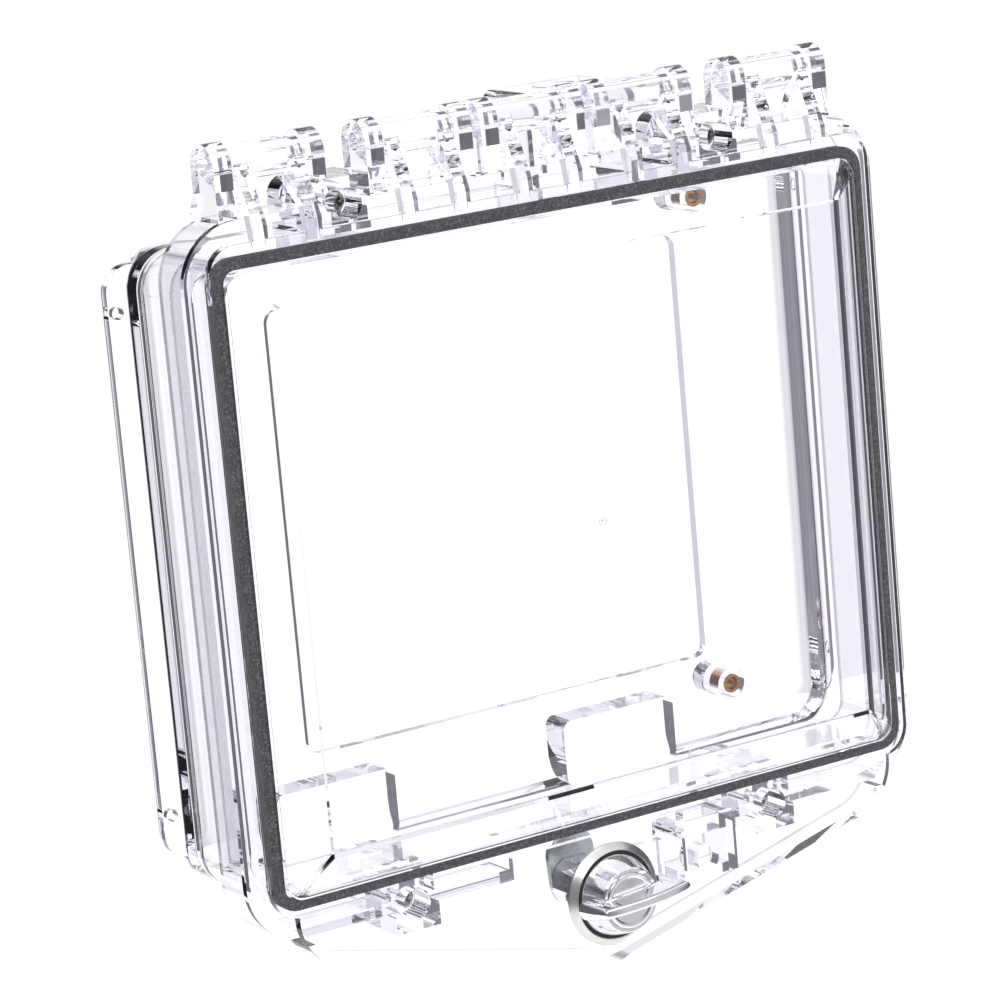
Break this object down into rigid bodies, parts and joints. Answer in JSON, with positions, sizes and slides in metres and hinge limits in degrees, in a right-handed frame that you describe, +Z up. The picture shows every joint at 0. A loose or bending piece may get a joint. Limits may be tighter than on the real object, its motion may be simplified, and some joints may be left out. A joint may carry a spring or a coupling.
{
  "type": "thermostat lock box",
  "caption": "Clear plastic wall box for a thermostat with a mounting frame, a foam gasket, a domed lift-up cover on hinge knuckles and a quarter-turn thumb lock.",
  "frame": {"origin": "centre of the four wall screw holes, in the plane of the wall", "axes": "+Z up the wall, the front faces -Y, +X to the right as seen from the front"},
  "size_m": [0.247, 0.0722, 0.2638],
  "materials": {
    "clear_box": "gloss",
    "clear_frame": "gloss",
    "clear_cover": "gloss",
    "clear_pin": "gloss",
    "foam_gasket": "matte",
    "brass": "satin",
    "nickel_steel": "satin",
    "satin_steel": "satin",
    "cam_steel": "satin",
    "chrome": "mirror",
    "seal_rubber": "matte"
  },
  "bodies": {
    "box": {"back_box": "clear_box", "mount_frame": "clear_frame", "cover_gasket": "foam_gasket", "hinge_pin_1": "clear_pin", "hinge_pin_2": "clear_pin", "hinge_pin_3": "clear_pin", "hinge_pin_4": "clear_pin", "hinge_pin_5": "clear_pin", "brass_inserts": "brass", "frame_screws": "nickel_steel"},
    "cover": {"cover": "clear_cover", "lock_bezel": "satin_steel", "lock_seal": "seal_rubber", "lock_housing": "chrome", "lock_washer": "nickel_steel", "lock_nut": "nickel_steel"},
    "turn": {"thumb_turn": "chrome", "cam": "cam_steel", "cam_washer": "nickel_steel", "cam_screw": "nickel_steel"}
  },
  "joints": [
    {"name": "cover_hinge", "type": "hinge", "parent": "box", "child": "cover", "pos_m": [0, -0.03655, 0.1175], "axis": [-1, 0, 0], "range_deg": [0, 170]},
    {"name": "thumb_turn", "type": "hinge", "parent": "cover", "child": "turn", "pos_m": [0, -0.055, -0.1183], "axis": [0, 1, 0], "range_deg": [0, 90]}
  ]
}
